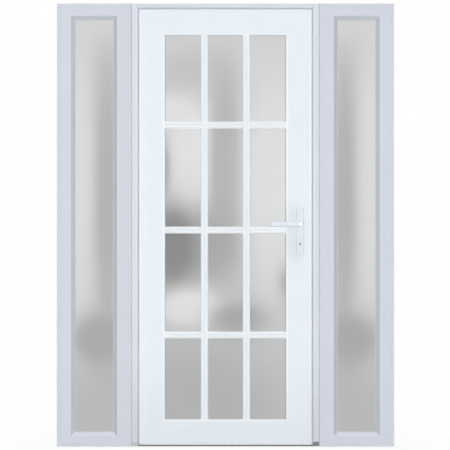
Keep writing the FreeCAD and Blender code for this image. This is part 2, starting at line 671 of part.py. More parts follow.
def build_frame_half(height):
    low = height - HINGE_HALF_LENGTH
    top = height + HINGE_HALF_LENGTH
    middle = height - KNUCKLE_GAP / 2
    edge = -(LEAF_EDGE + LEAF_FLANGE_REACH + HINGE_SIDE_CLEARANCE)
    web_side = edge - WEB_THICKNESS
    plate = box(edge - FRAME_PLATE_WIDTH, web_side, REAR, REAR + HINGE_PLATE_THICKNESS, low, top)
    web = box(web_side, edge, REAR, HINGE_Y, low, middle)
    bore = Part.makeCylinder(PIN_RADIUS, middle - low, point(HINGE_X, HINGE_Y, low))
    return plate.fuse([web.cut(bore), knuckle(low, middle, PIN_RADIUS)]).removeSplitter().Solids[0]


def build_leaf_half(height):
    """The leaf's half: a plate on its rear face and the upper knuckle, joined by a tapered web."""
    low = height - HINGE_HALF_LENGTH
    top = height + HINGE_HALF_LENGTH
    middle = height + KNUCKLE_GAP / 2
    edge = -(LEAF_EDGE + LEAF_FLANGE_REACH)
    plate_edge = HINGE_X + KNUCKLE_RADIUS + HINGE_SIDE_CLEARANCE
    plate_rear = LEAF_REAR + HINGE_PLATE_THICKNESS
    plate = box(plate_edge, plate_edge + LEAF_PLATE_WIDTH, LEAF_REAR, plate_rear, low, top)
    outline = [
        (edge + LEAF_FLANGE_RADIUS, LEAF_REAR),
        (plate_edge, LEAF_REAR),
        (plate_edge, plate_rear),
        (HINGE_X + KNUCKLE_RADIUS, HINGE_Y),
        (HINGE_X, HINGE_Y),
    ]
    web = hinge_piece(outline, middle, top)
    bore = Part.makeCylinder(PIN_RADIUS + PIN_CLEARANCE, top - middle, point(HINGE_X, HINGE_Y, middle))
    barrel = knuckle(middle, top, PIN_RADIUS + PIN_CLEARANCE)
    return plate.fuse([web.cut(bore), barrel]).removeSplitter().Solids[0]


def build_pin(height):
    """A hinge pin with a cap at each end."""
    low = height - HINGE_HALF_LENGTH
    top = height + HINGE_HALF_LENGTH + KNUCKLE_GAP
    cap_bottom = low - PIN_CAP_HEIGHT
    pin = Part.makeCylinder(PIN_RADIUS, top - low, point(HINGE_X, HINGE_Y, low))
    lower_cap = Part.makeCylinder(KNUCKLE_RADIUS, PIN_CAP_HEIGHT, point(HINGE_X, HINGE_Y, cap_bottom))
    upper_cap = Part.makeCylinder(KNUCKLE_RADIUS, PIN_CAP_HEIGHT, point(HINGE_X, HINGE_Y, top))
    return pin.fuse([lower_cap, upper_cap]).removeSplitter().Solids[0]


save("hinge_frame_halves", *[build_frame_half(height) for height in HINGE_HEIGHTS])
save("hinge_leaf_halves", *[build_leaf_half(height) for height in HINGE_HEIGHTS])
save("hinge_pins", *[build_pin(height) for height in HINGE_HEIGHTS])
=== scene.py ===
import bmesh
import bpy
import math
from mathutils import Matrix, Vector


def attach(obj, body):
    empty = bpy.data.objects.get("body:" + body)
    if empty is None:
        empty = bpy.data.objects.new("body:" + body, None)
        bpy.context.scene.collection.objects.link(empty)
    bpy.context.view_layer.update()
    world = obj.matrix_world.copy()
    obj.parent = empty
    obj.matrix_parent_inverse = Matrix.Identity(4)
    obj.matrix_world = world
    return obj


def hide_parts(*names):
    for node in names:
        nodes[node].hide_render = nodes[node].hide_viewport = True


# An entrance door unit seen square on: a white glazed leaf with twelve panes, between two tall
# fixed sidelights. X runs to the right, Y away from the street side, Z up, all in metres.
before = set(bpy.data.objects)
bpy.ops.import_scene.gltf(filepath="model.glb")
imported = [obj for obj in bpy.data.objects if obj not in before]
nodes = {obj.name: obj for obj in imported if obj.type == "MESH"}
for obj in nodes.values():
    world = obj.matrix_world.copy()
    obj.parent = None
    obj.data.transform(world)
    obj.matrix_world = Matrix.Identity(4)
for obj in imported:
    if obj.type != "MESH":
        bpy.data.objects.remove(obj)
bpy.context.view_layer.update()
bpy.ops.object.select_all(action="DESELECT")


# Door frame: two jambs and a head, extruded in pale plastic and welded at the upper corners.
# The skin is satin, with the fine lines that the extrusion die leaves along each bar, a scraped
# weld across each mitre, and a grey darkening towards the bottom.
class Signal:
    """One output in a material. Sums on it add Math nodes to the same material."""

    def __init__(self, tree, socket=None):
        self.tree = tree
        self.socket = socket

    def node(self, kind, settings=None, inputs=None, output=0):
        """Adds a node: its settings first, then the values or links of its sockets."""
        made = self.tree.nodes.new(kind)
        for name, value in (settings or {}).items():
            setattr(made, name, value)
        for name, value in (inputs or {}).items():
            if isinstance(value, Signal):
                self.tree.links.new(value.socket, made.inputs[name])
            else:
                made.inputs[name].default_value = value
        return Signal(self.tree, made.outputs[output] if made.outputs else None)

    def output(self, name):
        """Another output of the same node."""
        return Signal(self.tree, self.socket.node.outputs[name])

    def sums(self, operation, *values):
        """A Math node on some values."""
        return self.node("ShaderNodeMath", {"operation": operation}, dict(enumerate(values)))

    def __add__(self, other):
        return self.sums("ADD", self, other)

    def __radd__(self, other):
        return self.sums("ADD", other, self)

    def __sub__(self, other):
        return self.sums("SUBTRACT", self, other)

    def __rsub__(self, other):
        return self.sums("SUBTRACT", other, self)

    def __mul__(self, other):
        return self.sums("MULTIPLY", self, other)

    def __rmul__(self, other):
        return self.sums("MULTIPLY", other, self)

    def __truediv__(self, other):
        return self.sums("DIVIDE", self, other)

    def __rtruediv__(self, other):
        return self.sums("DIVIDE", other, self)

    def __pow__(self, other):
        return self.sums("POWER", self, other)

    def __abs__(self):
        return self.sums("ABSOLUTE", self)


def shade(red, green, blue):
    """A display colour, 0 to 255 a channel, as the linear colour that a shader takes."""
    channels = []
    for level in (red, green, blue):
        share = level / 255
        channels.append(share / 12.92 if share <= 0.04045 else ((share + 0.055) / 1.055) ** 2.4)
    return (*channels, 1.0)


def dimmed(colour, share):
    """A colour at a share of its brightness."""
    return (*[level * share for level in colour[:3]], 1.0)


def new_finish(name):
    """An empty material, with the object's own place as its first signal."""
    material = bpy.data.materials.new(name)
    material.use_nodes = True
    material.node_tree.nodes.clear()
    place = Signal(material.node_tree).node("ShaderNodeTexCoord", output=3)
    return material, place


def axes_of(place):
    """The x, y and z of a place, as three signals."""
    split = place.node("ShaderNodeSeparateXYZ", inputs={"Vector": place})
    return split, split.output(1), split.output(2)


def grain(place, scale, stretch=(1, 1, 1), detail=2.0, roughness=0.5):
    """Noise from 0 to 1, with its coordinates stretched along the axes."""
    spot = place.node("ShaderNodeMapping", inputs={"Vector": place, "Scale": stretch})
    return place.node("ShaderNodeTexNoise", inputs={"Vector": spot, "Scale": scale, "Detail": detail,
                                                    "Roughness": roughness})


def ease(value, low, high, start=0.0, end=1.0):
    """Turns value between low and high smoothly into start to end."""
    return value.node("ShaderNodeMapRange", {"interpolation_type": "SMOOTHSTEP"},
                      {"Value": value, "From Min": low, "From Max": high, "To Min": start, "To Max": end})


def between(share, first, second):
    """A colour between two colours."""
    return share.node("ShaderNodeMix", {"data_type": "RGBA"}, {0: share, 6: first, 7: second}, output=2)


def surface(place, height, depth, **sockets):
    """Ends a material in the main shader, with height bumped to depth metres."""
    relief = place.node("ShaderNodeBump", inputs={"Height": height, "Distance": depth, "Strength": 1.0})
    inputs = {name.replace("_", " "): value for name, value in sockets.items()}
    inputs["Normal"] = relief
    shader = place.node("ShaderNodeBsdfPrincipled", inputs=inputs)
    place.node("ShaderNodeOutputMaterial", inputs={"Surface": shader})


def past_opening(place, opening):
    """How far a place lies past the sides and past the ends of a glazed opening."""
    x0, x1, z0, z1 = opening
    x, y, z = axes_of(place)
    across = abs(x - (x0 + x1) / 2) - (x1 - x0) / 2
    upward = abs(z - (z0 + z1) / 2) - (z1 - z0) / 2
    return across, upward


def extruded_plastic(name, colour, run, opening=None, darkening_low=0.05, bevel=None, handle_shade_patch=None, grooves=()):
    """Satin window plastic whose die lines run along X or Z. Round an opening it has a weld on the
    mitre at each corner, and its bevel may be painted another colour as light or shade. Beside a
    handle it may have a grey patch of painted shade, and grooves along the run get painted shade."""
    material, place = new_finish(name)
    x, y, z = axes_of(place)
    lengthwise = 0.006
    along = (lengthwise, 1, 1) if run == "X" else (1, 1, lengthwise)
    die_lines = grain(place, 260, along, 3.0, 0.65)
    broad_lines = grain(place, 38, along, 2.0, 0.5)
    smears = grain(place, 5, (1, 1, 1), 5.0, 0.62)
    peel = grain(place, 1100, (1, 1, 1), 1.0)
    height = die_lines * 0.35 + peel * 0.18
    tone = between(ease(broad_lines, 0.3, 0.7) * 0.5 + ease(smears, 0.35, 0.65) * 0.5,
                   dimmed(colour, 0.975), colour)
    tone = between(ease(die_lines, 0.55, 0.8) * 0.25, tone, dimmed(colour, 0.93))
    # The bevel is painted in another colour, as painted light or shade.
    if bevel:
        width, bevel_painted_tone = bevel
        across, upward = past_opening(place, opening)
        beyond = across.sums("MAXIMUM", across, upward)
        tone = between(ease(beyond, width - 0.0004, width, 1.0, 0.0), tone, bevel_painted_tone)
    # A soft grey patch of painted shade beside a handle.
    if handle_shade_patch:
        spot_x, spot_z, half_width, half_height = handle_shade_patch
        reach = ((x - spot_x) / half_width) ** 2.0 + ((z - spot_z) / half_height) ** 4.0
        handle_shade_mask = (0.75 + 0.5 * smears) / (1.0 + reach ** 2.0)
        tone = between(handle_shade_mask * 0.42, tone, dimmed(colour, 0.72))
    # Painted shade along each groove.
    for middle in grooves:
        off_middle = abs(z - middle) if run == "X" else abs(x - middle)
        groove_shade = ease(off_middle, 0.0020, 0.0036, 0.32, 0.0) * (0.8 + 0.4 * smears)
        tone = between(groove_shade, tone, dimmed(colour, 0.72))
    if opening:
        across, upward = past_opening(place, opening)
        weld = ease(abs(across - upward), 0.0, 0.0009, 1.0, 0.0)
        tone = between(weld * 0.35, tone, dimmed(colour, 0.8))
        height = height - weld * 2.0
    # Grey darkening towards the bottom.
    low_darkening = ease(z, 0.0, 0.45, 1.0, 0.0) * (0.4 + 0.6 * smears) * darkening_low
    tone = between(low_darkening, tone, shade(150, 150, 150))
    surface(place, height, 0.00006, Base_Color=tone, Roughness=0.3 + 0.12 * smears + low_darkening,
            Specular_IOR_Level=0.45, Coat_Weight=0.12, Coat_Roughness=0.28)
    return material


def dress(material, *names):
    """Gives CAD nodes a finish."""
    for name in names:
        mesh_slots = nodes[name].material_slots
        if not mesh_slots:
            nodes[name].data.materials.append(material)
        for mesh_slot in mesh_slots:
            mesh_slot.material = material


door_opening = (-0.402, 0.402, -1.0, 2.011)
jamb_colour = shade(218, 222, 232)
head_colour = shade(215, 219, 227)
dress(extruded_plastic("pale_plastic_jamb", jamb_colour, "Z", door_opening, 0.3),
      "door_jamb_left", "door_jamb_right")
dress(extruded_plastic("pale_plastic_head", head_colour, "X", door_opening), "door_head")


# Coupling strips: thin grey plastic profiles, clipped between the door frame and each sidelight.
# They sit a little back from the face, so each shows as a fine shadow line.
def dull_plastic(name, colour, grit=900, rough=0.5, patchy=0.14):
    """Matt plastic or rubber with a fine grit and patches that are darker by a share."""
    material, place = new_finish(name)
    speckle = grain(place, grit, (1, 1, 1), 2.0, 0.6)
    smears = grain(place, 14, (1, 1, 1), 4.0, 0.6)
    tone = between(ease(smears, 0.3, 0.7) * 0.6 + speckle * 0.4,
                   dimmed(colour, 1 - patchy), colour)
    surface(place, speckle, 0.0001, Base_Color=tone, Roughness=rough + 0.18 * smears,
            Specular_IOR_Level=0.4)
    return material


dress(dull_plastic("coupling_grey", shade(190, 193, 201)), "coupling_strip_left", "coupling_strip_right")


# Jamb feet: moulded plastic blocks that close the hollow ends of the jambs at the threshold. The
# right one is dark grey and the left one pale grey.
dress(dull_plastic("foot_dark_grey", shade(126, 127, 133), 1400, 0.46), "jamb_foot_right")
dress(dull_plastic("foot_pale_grey", shade(198, 199, 204), 1400, 0.52), "jamb_foot_left")


# Threshold: a low extruded aluminium plate with anti-slip grooves, anodised grey. Shoes have
# polished the middle of it, and grit has left fine scratches across.
def trodden_aluminium(name):
    """Anodised plate, brushed along X, worn bright in the middle and scored across."""
    material, place = new_finish(name)
    x, y, z = axes_of(place)
    brushing = grain(place, 420, (0.02, 1, 1), 3.0, 0.7)
    scratches = grain(place, 90, (1, 0.05, 1), 4.0, 0.8)
    worn = ease(abs(x), 0.05, 0.36, 1.0, 0.0) * ease(grain(place, 16, detail=4.0), 0.35, 0.62)
    scored = ease(scratches, 0.6, 0.72)
    tone = between(brushing, shade(186, 188, 192), shade(210, 212, 216))
    tone = between(worn * 0.45 + scored * 0.2, tone, shade(214, 215, 217))
    surface(place, brushing * 0.5 - scored * 0.7, 0.00008, Base_Color=tone,
            Metallic=0.55 + 0.3 * worn, Roughness=0.42 - 0.14 * worn + 0.1 * brushing)
    return material


dress(trodden_aluminium("threshold_aluminium"), "threshold")


# Sidelights: frames of the same pale plastic with a fine line round the face and a steep bevel
# towards the glass, painted a shade deeper than the face as painted shade, except at the foot,
# where it faces up and is painted lighter as painted light.
# Beads snapped in at the rear hold the glass.
sidelight_colour = shade(209, 213, 223)
# The bevels are painted deeper than the face as painted shade, and lighter at the foot as painted light.
sidelight_bevel_painted_shade = (0.0175, shade(199, 203, 211))
lower_bevel_painted_light = (0.0175, shade(214, 218, 228))
sidelight_openings = {"left": (-0.6915, -0.514, 0.064, 1.959), "right": (0.514, 0.6915, 0.064, 1.959)}
for side, opening in sidelight_openings.items():
    upright_finish = extruded_plastic("pale_plastic_" + side + "_stiles", sidelight_colour, "Z",
                                      opening, bevel=sidelight_bevel_painted_shade)
    top_finish = extruded_plastic("pale_plastic_" + side + "_top_rail", sidelight_colour, "X",
                                  opening, bevel=sidelight_bevel_painted_shade)
    bottom_finish = extruded_plastic("pale_plastic_" + side + "_bottom_rail", sidelight_colour, "X",
                                     opening, bevel=lower_bevel_painted_light)
    member = side + "_sidelight_"
    dress(upright_finish, member + "outer_stile", member + "inner_stile", member + "side_beads")
    dress(top_finish, member + "top_rail", member + "end_beads")
    dress(bottom_finish, member + "bottom_rail")


# Glazing gaskets: pale grey rubber strips pushed in round both faces of each glass unit. They are
# mitred at the corners, with a rounded lip on the glass side.
def choose(kind, test):
    """Selects, in edit mode, the corners, edges or faces whose middle passes a test."""
    bpy.ops.mesh.select_mode(type=kind)
    bpy.ops.mesh.select_all(action="DESELECT")
    data = bpy.context.edit_object.data
    mesh = bmesh.from_edit_mesh(data)
    for part in {"VERT": mesh.verts, "EDGE": mesh.edges, "FACE": mesh.faces}[kind]:
        corners = [part] if kind == "VERT" else part.verts
        middle = sum((corner.co for corner in corners), Vector()) / len(corners)
        part.select_set(test(middle, part))
    mesh.select_flush_mode()
    bmesh.update_edit_mesh(data)


def begin_piece(name):
    """Names the primitive just added, settles its place in its mesh and opens it for editing."""
    piece = bpy.context.object
    piece.name = name
    bpy.ops.object.transform_apply(location=True, rotation=True, scale=True)
    bpy.ops.object.mode_set(mode="EDIT")
    return piece


def end_piece(piece, body, finish, smooth=40):
    """Closes a piece's mesh, gives it its finish and lets it ride on a body."""
    bpy.ops.mesh.select_all(action="SELECT")
    bpy.ops.mesh.normals_make_consistent(inside=False)
    bpy.ops.object.mode_set(mode="OBJECT")
    bpy.ops.object.shade_smooth_by_angle(angle=math.radians(smooth))
    piece.data.materials.clear()
    piece.data.materials.append(finish)
    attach(piece, body)
    bpy.ops.object.select_all(action="DESELECT")


def glazing_gasket(name, opening, wall, outward, body, finish):
    """A rubber ring round an opening, standing off the glass face at y = wall."""
    width = 0.0028
    height = 0.0034
    lip_radius = 0.0019
    x0, x1, z0, z1 = opening
    middle = ((x0 + x1) / 2, wall, (z0 + z1) / 2)
    bpy.ops.object.select_all(action="DESELECT")
    bpy.ops.mesh.primitive_plane_add(size=1, location=middle, rotation=(-outward * math.pi / 2, 0, 0))
    piece = begin_piece(name)
    bpy.ops.transform.resize(value=(x1 - x0, 1, z1 - z0), center_override=middle)
    bpy.ops.mesh.inset(thickness=width)
    bpy.ops.mesh.delete(type="FACE")
    bpy.ops.mesh.select_all(action="SELECT")
    bpy.ops.mesh.extrude_region_move(TRANSFORM_OT_translate={"value": (0, outward * height, 0)})

    def on_inner_lip(spot, edge):
        raised = abs(spot.y - wall) > 0.003
        return raised and x0 + 0.002 < spot.x < x1 - 0.002 and z0 + 0.002 < spot.z < z1 - 0.002

    choose("EDGE", on_inner_lip)
    bpy.ops.mesh.bevel(offset=lip_radius, segments=3, profile=0.5)
    end_piece(piece, body, finish)


gasket_rubber = dull_plastic("gasket_pale_grey", shade(210, 213, 220), 700, 0.6)
leaf_gasket_rubber = dull_plastic("gasket_grey", shade(186, 190, 196), 700, 0.6)
for side, opening in sidelight_openings.items():
    glazing_gasket(side + "_sidelight_front_gasket", opening, -0.013, -1, "frame", gasket_rubber)
    glazing_gasket(side + "_sidelight_rear_gasket", opening, 0.019, 1, "frame", gasket_rubber)
leaf_opening = (-0.2785, 0.2785, 0.124, 1.8875)
glazing_gasket("leaf_front_gasket", leaf_opening, -0.020, -1, "leaf", leaf_gasket_rubber)
glazing_gasket("leaf_rear_gasket", leaf_opening, 0.012, 1, "leaf", leaf_gasket_rubber)


# Frosted glass: sealed units with a satin-etched face; the blurred room behind is painted on them
# as soft grey clouds. Each cloud is a soft oval: its middle, half its width and height, and its grey.
def satin_glass(name, ground, clouds, mirrored=False):
    """Etched glass with painted greys, top and bottom, and painted clouds over them for the blurred
    room behind it. Mirrored clouds lie on both sides of the unit's middle."""
    material, place = new_finish(name)
    x, y, z = axes_of(place)
    if mirrored:
        x = abs(x)
    top_grey, bottom_grey = ground
    # Painted greys and clouds stand in for the blurred room behind the glass.
    grey = ease(z, 0.1, 1.95, bottom_grey / 255, top_grey / 255)
    for middle_x, middle_z, half_width, half_height, edge, level in clouds:
        reach = ((x - middle_x) / half_width) ** 2.0 + ((z - middle_z) / half_height) ** 2.0
        cloud = 1.0 / (1.0 + reach ** edge)
        grey = grey + cloud * (level / 255 - grey)
    etching = grain(place, 2600, (1, 1, 1), 1.0)
    haze = grain(place, 9, (1, 1, 1), 3.0, 0.55)
    grey = grey + 0.012 * (haze - 0.5)
    # What the glass mirrors of the white studio is taken off its own tone.
    tint = grey ** 2.2 - 0.07
    surface(place, etching, 0.00003, Base_Color=tint, Roughness=0.38 + 0.08 * haze,
            Specular_IOR_Level=0.5, Coat_Weight=0.2, Coat_Roughness=0.2)
    return material


sidelight_clouds = [
    (0.600, 0.74, 0.200, 0.150, 2.0, 205),
    (0.665, 1.24, 0.072, 0.72, 2.0, 221),
    (0.545, 1.14, 0.048, 0.62, 2.0, 181),
    (0.600, 2.05, 0.300, 0.20, 2.0, 217),
    (0.580, 0.49, 0.120, 0.110, 2.5, 173),
    (0.600, 0.06, 0.300, 0.22, 2.0, 189),
]
leaf_clouds = [
    (0.000, 1.98, 0.400, 0.185, 2.0, 216),
    (-0.110, 1.69, 0.190, 0.125, 2.0, 194),
    (0.215, 1.72, 0.120, 0.170, 1.5, 211),
    (-0.165, 1.335, 0.120, 0.262, 3.0, 229),
    (-0.255, 1.53, 0.085, 0.080, 2.0, 227),
    (0.002, 1.27, 0.070, 0.420, 3.0, 183),
    (0.215, 1.14, 0.130, 0.560, 2.5, 226),
    (-0.292, 1.28, 0.036, 0.120, 2.0, 176),
    (-0.095, 0.92, 0.145, 0.160, 2.5, 173),
    (-0.250, 0.915, 0.112, 0.182, 3.0, 144),
    (-0.160, 0.635, 0.150, 0.090, 2.5, 230),
    (0.060, 0.585, 0.120, 0.070, 2.0, 172),
    (0.285, 0.75, 0.040, 0.065, 1.5, 184),
    (-0.120, 0.18, 0.300, 0.260, 3.0, 183),
]
dress(satin_glass("satin_glass_sidelight", (200, 188), sidelight_clouds, True),
      "left_sidelight_glass", "right_sidelight_glass")
dress(satin_glass("satin_glass_leaf", (208, 192), leaf_clouds), "leaf_glass")


# Leaf: four mitred members of brighter plastic, a shallow bevel round the glass, a flange at the
# rear that laps over the frame, and beads on the room side.
leaf_colour = shade(232, 239, 245)
# The shallow bevel round the glass is painted lighter than the face, as painted light.
leaf_bevel_painted_light = (0.0095, shade(238, 243, 247))
# A soft grey patch of painted shade on the stile beside the handle plate: its middle x and z, and its half
# width and height.
painted_shade_beside_handle = (0.317, 0.985, 0.040, 0.125)
leaf_stile_finish = extruded_plastic("white_plastic_stiles", leaf_colour, "Z", leaf_opening, 0.16,
                                     leaf_bevel_painted_light, painted_shade_beside_handle)
dress(leaf_stile_finish, "leaf_hinge_stile", "leaf_lock_stile", "leaf_side_beads")
dress(extruded_plastic("white_plastic_rails", leaf_colour, "X", leaf_opening, 0.16, leaf_bevel_painted_light),
      "leaf_top_rail", "leaf_bottom_rail", "leaf_end_beads")


# Glazing bars: plastic bars with bevelled edges and a groove along the middle, bonded to both
# faces of the glass so that it reads as twelve panes.
bar_colour = shade(236, 241, 245)
# Painted shade runs along the groove of each bar, at these middles.
upright_middles = (-0.09625, 0.09625)
cross_middles = (0.511, 0.993, 1.475)
dress(extruded_plastic("white_plastic_upright_bars", bar_colour, "Z", grooves=upright_middles),
      "front_upright_bars", "rear_upright_bars")
dress(extruded_plastic("white_plastic_cross_bars", bar_colour, "X", grooves=cross_middles),
      "front_cross_bars", "rear_cross_bars")


# Seals: soft, nearly white rubber pushed into the step of the leaf. They close the reveal between
# leaf and jamb and show as a pale line at the back of it.
dress(dull_plastic("seal_pale_grey", shade(236, 239, 245), 700, 0.62, 0.03), "leaf_seals")


# Lock: the long edge plate on the leaf and the keeps on the jamb are brushed steel, with fine
# lines along the length. The profile cylinder is nickelled, and its hard edges are rounded.
def brushed_metal(name, low, high, stretch=(1, 1, 0.015)):
    """Bare metal between two tones, with fine lines along Z unless the stretch is even."""
    material, place = new_finish(name)
    lines = grain(place, 900, stretch, 3.0, 0.7)
    smudges = grain(place, 22, (1, 1, 1), 4.0, 0.6)
    tone = between(lines * 0.7 + smudges * 0.3, low, high)
    surface(place, lines, 0.00003, Base_Color=tone, Metallic=1.0,
            Roughness=0.26 + 0.16 * smudges + 0.08 * lines)
    return material


def reopen(piece):
    """Selects a piece alone and opens it for editing."""
    bpy.ops.object.select_all(action="DESELECT")
    piece.select_set(True)
    bpy.context.view_layer.objects.active = piece
    bpy.ops.object.mode_set(mode="EDIT")


def softened_copy(node, name, body, finish, width, segments=3):
    """Shows a copy of a CAD node with its hard edges rounded in the node's place."""
    piece = nodes[node].copy()
    piece.data = nodes[node].data.copy()
    piece.name = name
    piece.parent = None
    piece.matrix_world = Matrix.Identity(4)
    bpy.context.collection.objects.link(piece)
    reopen(piece)
    bpy.ops.mesh.select_all(action="SELECT")
    bpy.ops.mesh.remove_doubles(threshold=0.00001)
    bpy.ops.mesh.dissolve_limited(angle_limit=math.radians(1))
    bpy.ops.object.mode_set(mode="OBJECT")
    rounding = piece.modifiers.new("rounding", "BEVEL")
    rounding.width = width
    rounding.segments = segments
    rounding.limit_method = "ANGLE"
    rounding.angle_limit = math.radians(32)
    bpy.ops.object.modifier_apply(modifier=rounding.name)
    bpy.ops.object.mode_set(mode="EDIT")
    end_piece(piece, body, finish, 35)
    bpy.context.view_layer.objects.active = piece
    flats = piece.modifiers.new("flat_faces", "WEIGHTED_NORMAL")
    flats.keep_sharp = True
    bpy.ops.object.modifier_apply(modifier=flats.name)
    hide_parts(node)


lock_steel = brushed_metal("lock_brushed_steel", shade(150, 152, 156), shade(196, 198, 202))
cylinder_nickel = brushed_metal("cylinder_nickel", shade(208, 212, 216), shade(226, 229, 232), (1, 1, 1))
dress(lock_steel, "lock_edge_plate", "lock_keeps", "spindle")
softened_copy("lock_cylinder", "profile_cylinder", "leaf", cylinder_nickel, 0.0004, 2)


# Cylinder plug: the turning core of the lock, a steel disc that stands just proud of the cylinder
# on each face. The inside of its narrow keyway is painted dark, as painted shade.
keyway_painted_shade = dull_plastic("keyway_painted_shade", shade(26, 26, 28), 900, 0.7)
handle_x = 0.342
cylinder_z = 0.929


def cylinder_plug(name, face, outward):
    """The turning core on one face of the cylinder, which lies at y = face."""
    middle = (handle_x, face, cylinder_z)
    bpy.ops.object.select_all(action="DESELECT")
    bpy.ops.mesh.primitive_circle_add(vertices=32, radius=0.0066, fill_type="NGON", location=middle,
                                      rotation=(-outward * math.pi / 2, 0, 0))
    piece = begin_piece(name)
    bpy.ops.mesh.extrude_region_move(TRANSFORM_OT_translate={"value": (0, outward * 0.0005, 0)})
    bpy.ops.mesh.inset(thickness=0.0004, depth=0.0001)
    bpy.ops.mesh.inset(thickness=0.0012)
    bpy.ops.mesh.inset(thickness=0.0006)
    bpy.ops.transform.resize(value=(0.26, 1, 0.92), center_override=middle)
    bpy.ops.mesh.extrude_region_move(TRANSFORM_OT_translate={"value": (0, -outward * 0.006, 0)})
    choose("FACE", lambda spot, side: len(side.verts) == 32 and abs(spot.y - face) < 0.0001)
    bpy.ops.mesh.delete(type="ONLY_FACE")
    end_piece(piece, "leaf", lock_steel, 30)
    piece.data.materials.append(keyway_painted_shade)
    for side in piece.data.polygons:
        inside = abs(side.center.x - handle_x) < 0.0014 and abs(side.center.z - cylinder_z) < 0.0043
        if inside and abs(side.center.y - face) > 0.001:
            side.material_index = 1


cylinder_plug("outer_cylinder_plug", -0.0470, -1)
cylinder_plug("inner_cylinder_plug", 0.0620, 1)


# Latch and bolt: a bevelled latch and a square deadbolt, drawn back until they lie nearly flush
# in the edge plate. Two round locking cams sit near the ends of the plate.
leaf_edge_x = 0.399
lock_line_y = 0.012


def plate_insert(name, height, half_height, proud):
    """A block in the edge plate that stands proud of it."""
    middle = (leaf_edge_x, lock_line_y, height)
    bpy.ops.object.select_all(action="DESELECT")
    bpy.ops.mesh.primitive_cube_add(size=1, location=middle)
    piece = begin_piece(name)
    bpy.ops.transform.resize(value=(2 * proud, 0.0084, 2 * half_height), center_override=middle)
    return piece


latch = plate_insert("latch_nose", 0.994, 0.0080, 0.0016)
choose("EDGE", lambda spot, edge: spot.x > 0.400 and spot.y > 0.0155)
bpy.ops.transform.translate(value=(-0.0011, 0, 0))
choose("EDGE", lambda spot, edge: spot.x > 0.3993)
bpy.ops.mesh.bevel(offset=0.0003, segments=2)
end_piece(latch, "leaf", cylinder_nickel)
deadbolt = plate_insert("deadbolt_end", 0.974, 0.0095, 0.0009)
choose("EDGE", lambda spot, edge: spot.x > 0.3993)
bpy.ops.mesh.bevel(offset=0.0004, segments=2)
end_piece(deadbolt, "leaf", cylinder_nickel)
for cam_name, height in (("lower_locking_cam", 0.330), ("upper_locking_cam", 1.6815)):
    bpy.ops.object.select_all(action="DESELECT")
    bpy.ops.mesh.primitive_cylinder_add(vertices=24, radius=0.0050, depth=0.0040,
                                        location=(leaf_edge_x + 0.0005, lock_line_y, height),
                                        rotation=(0, math.pi / 2, 0))
    cam = begin_piece(cam_name)
    choose("EDGE", lambda spot, edge: spot.x > 0.4010)
    bpy.ops.mesh.bevel(offset=0.0006, segments=2)
    choose("FACE", lambda spot, face: spot.x > 0.4014 and face.normal.x > 0.9)
    bpy.ops.mesh.inset(thickness=0.0022)
    bpy.ops.mesh.extrude_region_move(TRANSFORM_OT_translate={"value": (-0.0010, 0, 0)})
    end_piece(cam, "leaf", cylinder_nickel)


# Screws: nickelled, with a low domed head and a cross recess. Two hold each keep and six the edge
# plate. The same head is used on the hinges and, coated white, on the inner back plate.
def cross_head_screw():
    """One screw head, 7.2 mm across, standing up from the origin along Z."""
    bpy.ops.object.select_all(action="DESELECT")
    bpy.ops.mesh.primitive_cylinder_add(vertices=24, radius=0.0036, depth=0.0010, location=(0, 0, 0.0005))
    head = begin_piece("screw_pattern")
    choose("EDGE", lambda spot, edge: spot.z > 0.0009)
    bpy.ops.mesh.bevel(offset=0.0006, segments=3)
    choose("FACE", lambda spot, face: face.normal.z > 0.99 and spot.z > 0.0009)
    bpy.ops.mesh.inset(thickness=0.0009)

    def in_quarter(spot, low, high):
        angle = math.degrees(math.atan2(abs(spot.y), abs(spot.x)))
        return spot.z > 0.0009 and spot.xy.length < 0.0024 and low < angle < high

    choose("VERT", lambda spot, corner: in_quarter(spot, 22, 68))
    bpy.ops.transform.resize(value=(0.46, 0.46, 1), center_override=(0, 0, 0.001))
    choose("VERT", lambda spot, corner: in_quarter(spot, 40, 50))
    bpy.ops.transform.resize(value=(0.74, 0.74, 1), center_override=(0, 0, 0.001))
    choose("FACE", lambda spot, face: face.normal.z > 0.99 and len(face.verts) == 24 and spot.z > 0.0009)
    bpy.ops.mesh.extrude_region_move(TRANSFORM_OT_translate={"value": (0, 0, -0.0008)})
    bpy.ops.mesh.select_all(action="SELECT")
    bpy.ops.mesh.normals_make_consistent(inside=False)
    bpy.ops.object.mode_set(mode="OBJECT")
    bpy.ops.object.shade_smooth_by_angle(angle=math.radians(30))
    return head


def drive_screws(name, spots, facing, body, finish):
    """Copies the screw head to each spot, turned a little differently each time, as one piece."""
    bpy.ops.object.select_all(action="DESELECT")
    for number, spot in enumerate(spots):
        screw = screw_pattern.copy()
        screw.data = screw_pattern.data.copy()
        bpy.context.collection.objects.link(screw)
        lean = Vector(facing).to_track_quat("Z", "X").to_matrix().to_4x4()
        screw.matrix_world = (Matrix.Translation(spot) @ lean
                              @ Matrix.Rotation(math.radians(37 * number), 4, "Z"))
        screw.select_set(True)
        bpy.context.view_layer.objects.active = screw
    bpy.ops.object.join()
    screws = bpy.context.object
    screws.name = name
    bpy.ops.object.transform_apply(location=True, rotation=True, scale=True)
    bpy.ops.object.mode_set(mode="EDIT")
    end_piece(screws, body, finish, 30)


